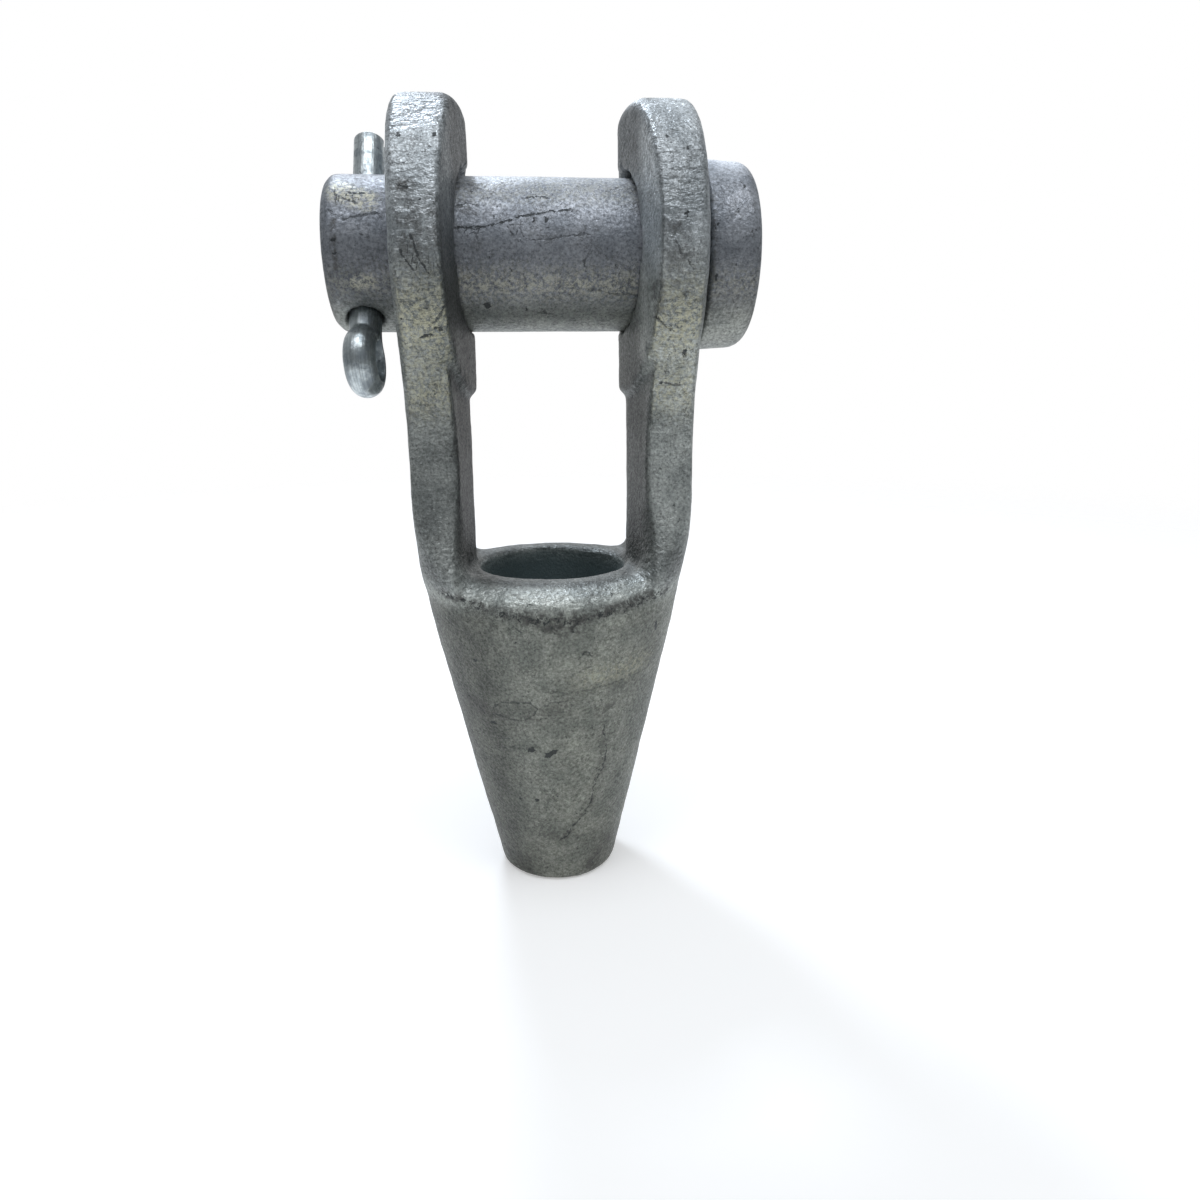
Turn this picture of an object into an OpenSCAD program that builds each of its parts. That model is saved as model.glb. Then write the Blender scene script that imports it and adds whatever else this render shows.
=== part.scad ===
// Open-type spelter socket: a galvanised steel forging with two eared legs on a
// conical basket, a headed clevis pin through the ears and a split pin that keeps it.
// The socket stands on its small end. The origin is the basket's axis at that end,
// +Z runs up through the basket to the jaw and +X runs along the pin to its head.

/* [Jaw] */
// Diameter of the clevis pin's shank
pin_d = 35; // [30:0.5:42]
// Slack of the pin in the ear holes, on the diameter
pin_slack = 1.8; // [0.8:0.1:4]
// Space between the two ears at the parting line, where it is narrowest
jaw_w = 35.6; // [28:0.2:46]
// Thickness of an ear at the parting line
ear_t = 16; // [12:0.1:20]
// Diameter of an ear
ear_d = 66.8; // [60:0.1:80]
// How far a leg's inner face stands back from its ear's
leg_back = 1.9; // [0.8:0.1:3]
// Draft of the ears' and legs' inner faces, to the front and back of the parting line
draft = 9; // [3:0.5:10]
// Width of the flat left on the parting line where the flash was trimmed
land = 2; // [1:0.1:4]
// Height of the ear holes above the basket's mouth
throat_h = 76.3; // [65:0.1:95]
// Radius on the outer edges of the ears and legs
edge_r = 2.6; // [1.5:0.1:4.5]
// Radius on an ear's inner edge at its foot, where it stands proud of the leg
inner_r = 1.8; // [1:0.1:4]
// Radius on an ear's inner edge at its top
crown_r = 6.2; // [4:0.1:9]
// How far below the pin the round of an ear's top is centred
crown_drop = 3; // [2:0.1:6]
// Edge broken at the outer end of an ear hole
hole_edge = 0.6; // [0.3:0.1:1.2]

/* [Legs] */
// Width of a leg at its waist, seen from the side
waist_w = 36; // [30:0.5:50]
// Height of the waist above the basket's mouth
waist_h = 27; // [22:0.5:34]
// Radius on a leg's inner edges, part of which the draft takes off
leg_r = 5.5; // [3:0.1:8]
// Radius of the fillet where a leg stands on the basket
foot_r = 2.2; // [1.5:0.1:4]
// Angle at which the round of the basket runs out up the legs' corners
root_flare = 16.5; // [15:0.5:30]

/* [Basket] */
// Height of the basket, from its small end to its mouth
basket_h = 85.2; // [70:0.1:110]
// Diameter of the outer cone at the mouth, shoulder edge not rounded
basket_d = 69.2; // [66:0.1:78]
// Diameter of the outer cone at the small end, edge not rounded
end_d = 31; // [28:0.1:36]
// Radius on the shoulder, between the outer cone and the mouth's face
shoulder_r = 7.6; // [4:0.1:9]
// Radius on the small end's outer edge
end_r = 1.8; // [0.8:0.1:2.5]
// Diameter of the bore at the mouth
mouth_d = 37.8; // [32:0.1:42]
// Radius on the mouth's edge
mouth_r = 0.6; // [0.3:0.1:2]
// Diameter of the straight rope bore at the small end
rope_d = 20.5; // [17:0.1:24]
// Length of the straight rope bore
rope_land = 9; // [5:0.5:16]
// Chamfer at the rope bore's lower edge
rope_chamfer = 0.6; // [0.3:0.1:1]
// Distance from the mouth down to the middle of the anchor groove
groove_down = 24; // [16:0.5:32]
// Width of the anchor groove
groove_w = 6; // [4:0.5:9]
// Depth of the anchor groove
groove_depth = 1.8; // [1:0.1:2.5]

/* [Clevis pin] */
// Length of the shank past the left ear
tail_l = 16.4; // [14:0.1:24]
// Chamfer on the shank's end
tail_chamfer = 2; // [1:0.1:4]
// Running gap between the head and the right ear
head_gap = 2.1; // [0.5:0.1:4]
// Thickness of the head
head_t = 12.8; // [9:0.1:16]
// How far the head stands out past the shank, all round
head_over = 4.5; // [3.5:0.1:9]
// Draft of the head, on the diameter
head_draft = 1.4; // [0.4:0.1:2.5]
// Radius on the head's outer edge
head_r = 4; // [1.5:0.1:5]

/* [Split pin] */
// Diameter of the two legs together
split_d = 7.4; // [6:0.1:8]
// Slack of the split pin in its hole, on the diameter
split_slack = 1; // [0.5:0.1:1.5]
// Distance from the shank's end to the middle of the split pin's hole
split_end = 7.9; // [7.5:0.1:9]
// Lean of the split pin, its eye towards the front
split_tilt = 30; // [0:1:60]
// Distance from the clevis pin's surface to the split pin's tip
tip_out = 14; // [10:0.5:24]
// Extra length of the split pin's front leg
tip_step = 1.2; // [0.4:0.1:3]
// Gap between the two legs
slit = 0.24; // [0.16:0.02:0.5]
// Distance from the clevis pin's surface to the start of the eye's neck
neck_out = 2.6; // [1:0.1:4]
// Inner radius of the eye
eye_r = 4.5; // [3.4:0.1:5]
// Turn of the eye's plane from square across the clevis pin
eye_turn = -6; // [-20:1:20]
// Radius of the neck's outer bend
neck_r = 1.6; // [1:0.1:3]

/* [Hidden] */
$fn = 96;
over = 1;
lap = 0.16;

steel_zinc = [0.62, 0.65, 0.66];
pin_zinc = [0.58, 0.61, 0.64];
bright_zinc = [0.74, 0.79, 0.8];

pin_z = basket_h + throat_h;
ear_r = ear_d / 2;
hole_r = (pin_d + pin_slack) / 2;
seat_gap = 0.04;
seat_z = pin_z - pin_slack / 2 + seat_gap;
ear_in = jaw_w / 2;
leg_in = ear_in + leg_back;
leg_out = ear_in + ear_t;
draft_drop = tan(draft) * land / 2;
cone_slope = (basket_d - end_d) / 2 / basket_h;
bore_slope = (mouth_d - rope_d) / 2 / (basket_h - rope_land);

// The waist is an arc that meets the ear's round almost tangentially. It runs past the
// tangent by lap, so that the two rounds cross along a clean line.
waist_z = basket_h + waist_h;
waist_rise = pin_z - waist_z;
waist_y = waist_w / 2;
touch_r = ear_r - lap;
waist_r = (waist_rise * waist_rise + waist_y * waist_y - touch_r * touch_r) / (2 * (touch_r - waist_y));
waist_cy = waist_y + waist_r;
touch = (touch_r + lap / 2) / (touch_r + waist_r);
touch_y = waist_cy * touch;
touch_z = pin_z - waist_rise * touch;
leg_foot_z = basket_h - shoulder_r - over;
root_sink = 0.6;
fade_in = 0.45;
fade_n = 4;

head_d = pin_d + 2 * head_over;
split_r = split_d / 2;
split_hole_r = (split_d + split_slack) / 2;
split_x = -(leg_out + tail_l - split_end);
wire_t = split_r - slit / 2;
neck_cy = split_r + neck_r;
loop_dist = eye_r + neck_r + wire_t;
loop_drop = sqrt(loop_dist * loop_dist - neck_cy * neck_cy);
neck_turn = asin(neck_cy / loop_dist);
neck_z = -(pin_d / 2 + neck_out);
tip_edge = 0.7;
tip_taper = 0.8;
ring_steps = 12;
neck_steps = 5;
loop_steps = 15;

function unit(v) = v / norm(v);
function cone_r(z) = end_d / 2 + cone_slope * z;
function root_r(z) = cone_r(leg_foot_z) - root_sink + tan(root_flare) * (z - leg_foot_z);

// The area between a corner at v, whose sides run to a and b, and a round of radius r.
// Its tip lies a little past v, so that nothing of the corner is left standing.
module corner_rest(a, v, b, r) {
    ua = unit(a - v);
    ub = unit(b - v);
    inward = unit(ua + ub);
    half = acos(ua * ub) / 2;
    side = r / tan(half);
    difference() {
        polygon([v - inward * over, v + ua * side, v + ub * side]);
        translate(v + inward * r / sin(half)) circle(r);
    }
}

// Rectangle from the axis out to radius r, between heights z0 and z1. Its outer corners
// are round, with the radius low at z0 and high at z1.
module rim_profile(r, z0, z1, low, high) {
    middle = (z0 + z1) / 2;
    translate([0, z0]) square([r - low, middle - z0]);
    translate([0, middle]) square([r - high, z1 - middle]);
    translate([0, z0 + low]) square([r, z1 - z0 - low - high]);
    translate([r - low, z0 + low]) circle(low);
    translate([r - high, z1 - high]) circle(high);
}

module along_x() {
    rotate([0, 90, 0]) children();
}

// Half section of the basket, with the shoulder and the small end rounded.
module basket_profile() {
    foot = [end_d / 2, 0];
    shoulder = [basket_d / 2, basket_h];
    difference() {
        polygon([[0, 0], foot, shoulder, [0, basket_h]]);
        corner_rest([0, 0], foot, shoulder, end_r);
        corner_rest(foot, shoulder, [0, basket_h], shoulder_r);
    }
}

// Half section of what the basket is bored out to: rope bore, cone, groove and mouth.
module bore_profile() {
    rope_r = rope_d / 2;
    mouth = [mouth_d / 2, basket_h];
    groove_z = basket_h - groove_down;
    groove_r = rope_r + bore_slope * (groove_z - rope_land) + groove_depth;
    polygon([[0, -over], [rope_r + rope_chamfer + over, -over], [rope_r, rope_chamfer],
             [rope_r, rope_land], mouth, [mouth_d / 2, basket_h + over], [0, basket_h + over]]);
    corner_rest([rope_r, rope_land], mouth, [basket_d / 2, basket_h], mouth_r);
    polygon([[0, groove_z - groove_w], [groove_r - groove_depth * 2, groove_z - groove_w],
             [groove_r, groove_z - groove_w / 2], [groove_r, groove_z + groove_w / 2], [0, groove_z + groove_w / 2]]);
}

// What the draft takes off an inner face at x: all but a flat land, falling away to front and back.
module draft_cut(x) {
    reach = ear_r + over;
    far = x - draft_drop + tan(draft) * reach;
    translate([0, 0, leg_foot_z - over]) linear_extrude(pin_z + ear_r + 2 * over - leg_foot_z)
        polygon([[x - draft_drop, 0], [far, reach], [x - over, reach], [x - over, -reach], [far, -reach]]);
}

// One ear: a round plate about the pin's axis. Its inner face stands proud of the leg's,
// and its inner edge grows rounder towards the top.
module ear() {
    crown = [ear_r + crown_drop + lap, ear_in];
    difference() {
        translate([0, 0, pin_z]) along_x() rotate_extrude() rim_profile(ear_r, ear_in, leg_out, inner_r, edge_r);
        draft_cut(ear_in);
        translate([0, 0, pin_z - crown_drop]) along_x() rotate_extrude()
            corner_rest([0, ear_in], crown, [crown[0], leg_out], crown_r);
    }
}

// What an ear's hole takes out, with its outer edge broken.
module ear_hole() {
    translate([ear_in, 0, pin_z]) along_x() {
        translate([0, 0, -over]) cylinder(h = ear_t + 2 * over, r = hole_r);
        translate([0, 0, ear_t - hole_edge]) cylinder(h = hole_edge + over, r1 = hole_r, r2 = hole_r + hole_edge + over);
    }
}

// What the waist takes off a leg on one side, with the rounds on both of its edges.
module waist_cut() {
    nose = 2 * leg_r;
    translate([0, waist_cy, waist_z]) along_x() rotate_extrude() difference() {
        translate([0, leg_in - over]) square([waist_r + leg_r, leg_out - leg_in + 2 * over]);
        translate([waist_r + nose, 0]) mirror([1, 0]) rim_profile(nose, leg_in, leg_out, leg_r, edge_r);
        translate([waist_r + edge_r, leg_out - edge_r]) square([nose, edge_r + 2 * over]);
    }
}

// The round of the basket, run on upwards and outwards to bound the legs' feet.
module root_cone() {
    translate([0, 0, leg_foot_z]) cylinder(h = pin_z - leg_foot_z, r1 = root_r(leg_foot_z), r2 = root_r(pin_z));
}

// One leg, from inside the basket's shoulder up to the ear, waisted, with its corners in the root cone.
module leg() {
    intersection() {
        difference() {
            translate([leg_in, 0, 0]) rotate([90, 0, 90]) linear_extrude(leg_out - leg_in)
                polygon([[-ear_r, leg_foot_z], [ear_r, leg_foot_z], [touch_y, touch_z], [-touch_y, touch_z]]);
            waist_cut();
            mirror([0, 1, 0]) waist_cut();
            draft_cut(leg_in);
        }
        root_cone();
    }
}

// Concave fillet between a leg's inner face and the mouth's face. It is sunk into both,
// follows the draft to front and back and runs out on the shoulder's round.
module foot_fillet() {
    fillet_x = leg_in - draft_drop - foot_r + lap;
    fillet_z = basket_h + foot_r - lap;
    slant = tan(draft) * ear_r;
    wide = foot_r + over;
    fade_r = fade_n * foot_r;
    fade_out_r = basket_d / 2 - fade_in * shoulder_r;
    intersection() {
        difference() {
            translate([fillet_x, 0, leg_foot_z]) linear_extrude(fillet_z - leg_foot_z)
                polygon([[0, 0], [slant, ear_r], [slant + wide, ear_r], [wide, 0],
                         [slant + wide, -ear_r], [slant, -ear_r]]);
            for (half = [0, 1]) mirror([0, half, 0]) translate([fillet_x, 0, fillet_z]) rotate([90, 0, draft])
                translate([0, 0, -over]) cylinder(h = ear_d, r = foot_r);
        }
        rotate_extrude()
            rim_profile(fade_out_r, leg_foot_z - 2 * fade_r, basket_h + foot_r, fade_r, fade_r);
    }
}

module socket() {
    color(steel_zinc) difference() {
        union() {
            rotate_extrude() basket_profile();
            for (side = [0, 1]) mirror([side, 0, 0]) {
                ear();
                leg();
                foot_fillet();
            }
        }
        rotate_extrude() bore_profile();
        for (side = [0, 1]) mirror([side, 0, 0]) ear_hole();
    }
}

// Turned shank with a chamfered end and a forged head, drilled across for the split pin.
module clevis_pin() {
    shank_l = tail_l + 2 * leg_out + head_gap;
    pin_l = shank_l + head_t;
    rim = [(head_d - head_draft) / 2, pin_l];
    color(pin_zinc) difference() {
        translate([-leg_out - tail_l, 0, seat_z]) along_x() rotate_extrude() difference() {
            polygon([[0, 0], [pin_d / 2 - tail_chamfer, 0], [pin_d / 2, tail_chamfer], [pin_d / 2, shank_l],
                     [head_d / 2, shank_l], rim, [0, pin_l]]);
            corner_rest([head_d / 2, shank_l], rim, [0, pin_l], head_r);
        }
        translate([split_x, 0, seat_z]) rotate([-split_tilt, 0, 0])
            cylinder(h = pin_d + 2 * over, r = split_hole_r, center = true);
    }
}

// Points of the wire's half-round section, as distance from its flat and place across it.
function wire_ring() = [
    for (i = [0:ring_steps]) let (a = (2 * i / ring_steps - 1) * acos(slit / split_d))
        [split_r * cos(a) - slit / 2, split_r * sin(a)]
];

// The wire's path, from the neck's start on one side to the eye's far side. Each entry
// is a point of the wire's flat, then the direction in which its round side bulges.
function half_path() = concat(
    [for (i = [0:neck_steps]) let (a = (90 - neck_turn) * i / neck_steps, d = [cos(a), sin(a)])
        [[neck_cy, neck_z] - (neck_r + wire_t) * d, d]],
    [for (i = [1:loop_steps]) let (a = neck_turn + (180 - neck_turn) * i / loop_steps, d = [sin(a), cos(a)])
        [[0, neck_z - loop_drop] + eye_r * d, d]]
);

// A straight leg's tip, its end edge broken by a shorter ring.
function leg_tip(z) = [[[slit / 2, z], [1, 0], tip_taper], [[slit / 2, z - tip_edge], [1, 0], 1]];

// The same stations on the other side of the pin's middle plane, in reverse order.
function flipped(path) = [for (i = [len(path) - 1:-1:0]) let (p = path[i])
    concat([[-p[0][0], p[0][1]], [-p[1][0], p[1][1]]], len(p) > 2 ? [p[2]] : [])];

// Half-round wire bent double: two legs lying flat to flat, a neck and a round eye.
module split_pin() {
    tip = pin_d / 2 + tip_out;
    half = half_path();
    path = concat(leg_tip(tip), half, flipped([for (i = [0:len(half) - 2]) half[i]]), flipped(leg_tip(tip + tip_step)));
    ring = wire_ring();
    n = len(ring);
    points = [for (p = path, q = ring) let (k = len(p) > 2 ? p[2] : 1)
        [q[1] * k, p[0][0] + p[1][0] * q[0] * k, p[0][1] + p[1][1] * q[0] * k]];
    sides = [for (j = [0:len(path) - 2], i = [0:n - 1]) let (k = (i + 1) % n)
        [j * n + i, j * n + k, (j + 1) * n + k, (j + 1) * n + i]];
    caps = [[for (i = [n - 1:-1:0]) i], [for (i = [0:n - 1]) (len(path) - 1) * n + i]];
    color(bright_zinc) translate([split_x, 0, seat_z]) rotate([-split_tilt, 0, 0]) rotate([0, 0, eye_turn])
        polyhedron(points, concat(sides, caps));
}

socket();
clevis_pin();
split_pin();
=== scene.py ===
import math

import bmesh
import bpy
import numpy as np
from mathutils import Euler, Matrix, Vector


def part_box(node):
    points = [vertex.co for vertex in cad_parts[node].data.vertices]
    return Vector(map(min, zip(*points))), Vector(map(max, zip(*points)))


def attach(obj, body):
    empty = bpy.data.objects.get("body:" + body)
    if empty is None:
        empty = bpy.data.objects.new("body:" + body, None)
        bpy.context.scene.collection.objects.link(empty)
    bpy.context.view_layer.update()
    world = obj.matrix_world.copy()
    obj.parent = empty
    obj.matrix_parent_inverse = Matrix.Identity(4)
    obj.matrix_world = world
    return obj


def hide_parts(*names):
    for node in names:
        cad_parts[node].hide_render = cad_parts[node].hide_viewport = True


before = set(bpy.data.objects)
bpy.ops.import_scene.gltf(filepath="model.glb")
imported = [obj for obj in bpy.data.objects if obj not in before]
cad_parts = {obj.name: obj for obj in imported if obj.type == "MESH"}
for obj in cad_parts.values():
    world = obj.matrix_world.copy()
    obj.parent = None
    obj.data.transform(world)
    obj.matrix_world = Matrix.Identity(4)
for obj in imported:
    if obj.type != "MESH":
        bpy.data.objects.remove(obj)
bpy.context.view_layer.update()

# Camera. It stands close in front of the socket, above the basket's mouth and turned slightly to
# the right, and it looks down on it. All its values were fitted to the photograph's outline.
LOOKS_DOWN = math.radians(14.798)
LOOKS_RIGHT = math.radians(6.196)
TIPS_OVER = math.radians(0.337)

view_data = bpy.data.cameras.new("view")
view = bpy.data.objects.new("view", view_data)
bpy.context.scene.collection.objects.link(view)
bpy.context.scene.camera = view
looking = Euler((math.radians(90) - LOOKS_DOWN, 0, -LOOKS_RIGHT)).to_matrix() @ Matrix.Rotation(-TIPS_OVER, 3, "Z")
view.location = (-0.00994, -0.23137, 0.13707)
view.rotation_euler = looking.to_euler()
view_data.sensor_fit = "HORIZONTAL"
view_data.sensor_width = 36
view_data.lens = 26.936
view_data.shift_x = -0.00832
view_data.shift_y = -0.00495
view_data.clip_start = 0.01


# Floor, lamps and world. A pale studio: soft light from above and behind, a darker room behind
# the camera, and a floor that fades into the white background.
ROOM_LIGHT = (0.20, 0.34)
LIGHT_FROM_BEHIND = 0.26
LAMPS_AIM_AT = Vector((0, 0, 0.12))
FLOOR_R = 1.4
FLOOR_FADES = (0.25, 0.9)


def put(tree, kind, links=None, **settings):
    """Adds one node. links gives its inputs by name or number, each a value or another node's output."""
    made = tree.nodes.new(kind)
    for key, value in settings.items():
        setattr(made, key, value)
    for key, value in (links or {}).items():
        if isinstance(value, bpy.types.NodeSocket):
            tree.links.new(value, made.inputs[key])
        else:
            made.inputs[key].default_value = value
    return made


def sums(tree, operation, *values, clamp=False):
    """One Math node's result."""
    return put(tree, "ShaderNodeMath", dict(enumerate(values)), operation=operation, use_clamp=clamp).outputs[0]


def ramped(tree, value, low, high, to_low=0.0, to_high=1.0, kind="SMOOTHSTEP"):
    """value from low to high, brought to the range to_low to to_high."""
    links = {"Value": value, "From Min": low, "From Max": high, "To Min": to_low, "To Max": to_high}
    return put(tree, "ShaderNodeMapRange", links, interpolation_type=kind).outputs["Result"]


def seen_directly(tree):
    """1 for rays from the camera, and 1 for those that metal and glass show."""
    path = put(tree, "ShaderNodeLightPath").outputs
    shown = sums(tree, "MAXIMUM", path["Is Glossy Ray"], path["Is Transmission Ray"])
    return path["Is Camera Ray"], shown


bpy.context.scene.view_settings.view_transform = "Standard"
world = bpy.data.worlds.new("studio")
bpy.context.scene.world = world
world.use_nodes = True
studio = world.node_tree
studio.nodes.clear()
heading = put(studio, "ShaderNodeSeparateXYZ", {0: put(studio, "ShaderNodeTexCoord").outputs["Generated"]}).outputs
above = ramped(studio, heading["Z"], 0.0, 1.0, *ROOM_LIGHT)
behind = ramped(studio, heading["Y"], -0.4, 1.0)
wall = ramped(studio, heading["Y"], 0.55, 1.0)
camera_ray, shown_ray = seen_directly(studio)
lit = sums(studio, "ADD", above, sums(studio, "MULTIPLY", behind, LIGHT_FROM_BEHIND))
backdrop = sums(studio, "MAXIMUM", camera_ray, sums(studio, "MULTIPLY", shown_ray, wall))
light_part = put(studio, "ShaderNodeBackground", {"Color": (0.93, 0.97, 1.0, 1), "Strength": lit}).outputs[0]
white_part = put(studio, "ShaderNodeBackground", {"Color": (1, 1, 1, 1), "Strength": 1.0}).outputs[0]
whole = put(studio, "ShaderNodeMixShader", {0: backdrop, 1: light_part, 2: white_part}).outputs[0]
put(studio, "ShaderNodeOutputWorld", {0: whole})

for name, place, size, power, tint in (
    ("key", (-0.20, 0.62, 0.97), 0.2, 5.6, (0.83, 0.90, 1.0)),
    ("top", (0.0, -0.22, 1.20), 0.4, 1.7, (0.86, 0.93, 1.0)),
    ("front left", (-0.34, -0.42, 1.07), 0.5, 2.3, (0.97, 0.97, 1.0)),
    ("front right", (0.34, -0.42, 1.07), 0.5, 2.3, (0.97, 0.98, 1.0)),
):
    lamp_data = bpy.data.lights.new(name, "AREA")
    lamp_data.size = size
    lamp_data.energy = power
    lamp_data.color = tint
    lamp = bpy.data.objects.new(name, lamp_data)
    lamp.location = place
    lamp.rotation_euler = (Vector(place) - LAMPS_AIM_AT).to_track_quat("Z", "Y").to_euler()
    bpy.context.scene.collection.objects.link(lamp)

floor_mesh = bpy.data.meshes.new("floor")
floor_form = bmesh.new()
bmesh.ops.create_circle(floor_form, cap_ends=True, segments=96, radius=FLOOR_R)
floor_form.to_mesh(floor_mesh)
floor_form.free()
floor = bpy.data.objects.new("floor", floor_mesh)
bpy.context.scene.collection.objects.link(floor)
paper = bpy.data.materials.new("pale_paper")
paper.use_nodes = True
tree = paper.node_tree
tree.nodes.clear()
camera_ray, shown_ray = seen_directly(tree)
seen = sums(tree, "MAXIMUM", camera_ray, shown_ray)
pale = put(tree, "ShaderNodeBsdfDiffuse", {"Color": (0.82, 0.82, 0.82, 1)}).outputs[0]
glow = put(tree, "ShaderNodeEmission", {"Color": (1, 1, 1, 1), "Strength": 0.35}).outputs[0]
shown = put(tree, "ShaderNodeAddShader", {0: pale, 1: glow}).outputs[0]
dull = put(tree, "ShaderNodeBsdfDiffuse", {"Color": (0.36, 0.36, 0.34, 1)}).outputs[0]
surface = put(tree, "ShaderNodeMixShader", {0: seen, 1: dull, 2: shown}).outputs[0]
clear = put(tree, "ShaderNodeBsdfTransparent").outputs[0]
floor_place = put(tree, "ShaderNodeTexCoord").outputs["Object"]
from_middle = put(tree, "ShaderNodeVectorMath", {0: floor_place}, operation="LENGTH").outputs["Value"]
fade = ramped(tree, from_middle, *FLOOR_FADES)
faded = put(tree, "ShaderNodeMixShader", {0: fade, 1: surface, 2: clear}).outputs[0]
put(tree, "ShaderNodeOutputMaterial", {0: faded})
floor_mesh.materials.append(paper)


# Socket. One steel forging: a conical basket, two waisted legs and two round ears, with the rope's
# bore and the pin holes machined. It is hot-dip galvanised, so its edges are soft and its skin is lumpy.
SOCKET_VOXEL = 0.00082
HOLES_HEIGHT_MM = 161.5


def remeshed(node_name, voxel, name):
    """An evenly meshed copy of a CAD node: its loose triangles are merged, then remeshed."""
    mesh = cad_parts[node_name].data.copy()
    form = bmesh.new()
    form.from_mesh(mesh)
    bmesh.ops.remove_doubles(form, verts=form.verts, dist=2e-6)
    form.to_mesh(mesh)
    form.free()
    piece = bpy.data.objects.new(name, mesh)
    bpy.context.scene.collection.objects.link(piece)
    remesh = piece.modifiers.new("even", "REMESH")
    remesh.mode = "VOXEL"
    remesh.voxel_size = voxel
    remesh.use_smooth_shade = True
    even = bpy.data.meshes.new_from_object(piece.evaluated_get(bpy.context.evaluated_depsgraph_get()))
    piece.modifiers.clear()
    piece.data = even
    even.materials.clear()
    return piece


def points_of(mesh, what="co"):
    """The mesh's points, or their normals, one row each, in metres."""
    values = np.empty(len(mesh.vertices) * 3)
    mesh.vertices.foreach_get(what, values)
    return values.reshape(-1, 3)


def eased(mesh, share, rounds):
    """Moves each point towards its neighbours' middle by its own share, several times over."""
    co = points_of(mesh)
    ends = np.empty(len(mesh.edges) * 2, dtype=np.int64)
    mesh.edges.foreach_get("vertices", ends)
    a, b = ends.reshape(-1, 2).T
    count = np.bincount(ends, minlength=len(co))
    for _ in range(rounds):
        for k in range(3):
            total = np.bincount(a, co[b, k], len(co)) + np.bincount(b, co[a, k], len(co))
            co[:, k] += (total / count - co[:, k]) * share
    mesh.vertices.foreach_set("co", co.ravel())
    mesh.update()


def step(values, low, high):
    """0 up to low, 1 from high on, and smooth between them."""
    t = np.clip((values - low) / (high - low), 0, 1)
    return t * t * (3 - 2 * t)


def along(values, *stops):
    """Straight lines between stops, each a place and the number there."""
    places, numbers = zip(*stops)
    return np.interp(values, places, numbers)


def hill(values, middle, width):
    """1 at middle, falling off smoothly to both sides."""
    return np.exp(-((values - middle) / width) ** 2)


def kept(mesh, name, values):
    """Keeps one number for each point of the mesh, for its relief and its material to read."""
    mesh.attributes.new(name, "FLOAT", "POINT").data.foreach_set("value", values)


def from_stroke(x, z, stroke):
    """How far each point is from a row of (x, z) places seen from the front, across it, and past its ends."""
    near, across, past = np.full(len(x), 1e3), np.full(len(x), 3.0), np.full(len(x), 1e3)
    for (ax, az), (bx, bz) in zip(stroke, stroke[1:] or [(stroke[0][0] + 0.01, stroke[0][1])]):
        long = math.hypot(bx - ax, bz - az)
        t = ((x - ax) * (bx - ax) + (z - az) * (bz - az)) / long ** 2
        off = ((x - ax) * (bz - az) - (z - az) * (bx - ax)) / long
        out = np.maximum(0, np.maximum(-t, t - 1)) * long
        closer = np.hypot(off, out) < near
        near[closer], across[closer], past[closer] = np.hypot(off, out)[closer], off[closer], out[closer]
    return near, across, past


def marked(mesh, name, strokes):
    """Marks on the front, each with its half-width and softness in mm, its strength and its (x, z) places."""
    x, y, z = points_of(mesh).T * 1000
    value = np.zeros(len(x))
    for half, soft, strength, stroke in strokes:
        near = from_stroke(x, z, stroke)[0]
        value = np.maximum(value, strength * (1 - step(near, half - soft / 2, half + soft / 2)))
    kept(mesh, name, value * (y < 0))


def scratched(mesh, lines):
    """Fine lines on the front, each a strength and its (x, z) places in mm. A point keeps how far across the
    nearest line it is, and how strong that line is there."""
    x, y, z = points_of(mesh).T * 1000
    nearest, across, strong = np.full(len(x), 1e3), np.full(len(x), 3.0), np.zeros(len(x))
    for strength, line in lines:
        near, off, past = from_stroke(x, z, line)
        closer = (near < nearest) & (y < 0)
        nearest[closer], across[closer] = near[closer], off[closer]
        strong[closer] = (strength * (1 - step(near, 1.0, 1.7)) * (1 - step(past, 0.1, 0.9)))[closer]
    kept(mesh, "across", across)
    kept(mesh, "scratch", strong)


socket = remeshed("socket", SOCKET_VOXEL, "socket_forging")
x, y, z = points_of(socket.data).T
from_axis = np.hypot(x, y)
eased(socket.data, np.full(len(x), 0.5), 3)
legs_foot = step(z, 0.066, 0.076) * (1 - step(z, 0.094, 0.106)) * step(from_axis, 0.0235, 0.027)
eased(socket.data, 0.5 * legs_foot, 60)

# From here on in millimetres. First where each part of the forging is, as a number from 0 to 1.
x, y, z = points_of(socket.data).T * 1000
side, front, _ = points_of(socket.data, "normal").T
from_axis = np.hypot(x, y)
inwards = -(x * side + y * front) / np.maximum(from_axis, 0.1)
bored = (1 - step(from_axis, 18.2, 19.2)) * (1 - step(z, 85.4, 86.5)) * step(inwards, 0.2, 0.6)
machined = np.maximum(bored, 1 - step(np.hypot(y, z - HOLES_HEIGHT_MM), 18.4, 19.2))
rim = 1 - step(np.abs(side), 0.55, 0.8)
facing = step(np.abs(front), 0.45, 0.8)
ear = step(z, 122, 132)
leg = step(z, 88, 96) * (1 - ear)
shoulder = step(z, 79, 82) * (1 - step(z, 88, 96))
cone = 1 - step(z, 79, 82)
mouth = step(z, 84.0, 84.8) * (1 - step(from_axis, 24.5, 31.0))
inner_face = step(-side * np.sign(x), 0.60, 0.96) * step(z, 86, 92)
kept(socket.data, "forged", 1 - 0.85 * machined)
kept(socket.data, "bored", bored)
hammered = ear * (0.22 + 0.78 * rim) + leg * (0.25 + 0.35 * rim) + 1.1 * shoulder + 0.25 * cone
kept(socket.data, "hammered", hammered * (1 - 0.6 * mouth) * (1 - 0.9 * machined))
# Pale bands on the front of the ears' rims, facing forward and down: painted light from below. A pale slanting band on
# the cone's right.
ears_painted_light_from_below = hill(z, 144, 8.5) + 0.75 * hill(z, 129, 5)
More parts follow.
